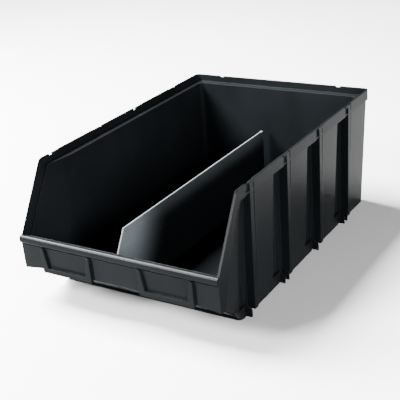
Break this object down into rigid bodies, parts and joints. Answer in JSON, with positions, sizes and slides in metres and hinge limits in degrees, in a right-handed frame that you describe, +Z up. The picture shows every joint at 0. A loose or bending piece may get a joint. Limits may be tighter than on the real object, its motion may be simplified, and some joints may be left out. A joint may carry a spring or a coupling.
{
  "type": "stacking storage bin",
  "caption": "Open-fronted black plastic stacking bin with ribbed double side walls, a stepped rim, a low rolled front lip and a lift-out lengthwise divider.",
  "frame": {"origin": "on the ground, at the middle of the crate's footprint", "axes": "+Z up, +Y from the open front to the back wall, +X towards the right side wall seen from the front"},
  "size_m": [0.334, 0.506, 0.199],
  "materials": {
    "bin_plastic": "semi-matte black moulded polypropylene",
    "divider_plastic": "semi-matte black moulded polypropylene"
  },
  "bodies": {
    "bin": {"bin_body": "bin_plastic"},
    "divider": {"divider_panel": "divider_plastic"}
  },
  "joints": [
    {"name": "divider_lift", "type": "slide", "parent": "bin", "child": "divider", "axis": [0, 0, 1], "range_m": [0, 0.2]}
  ]
}
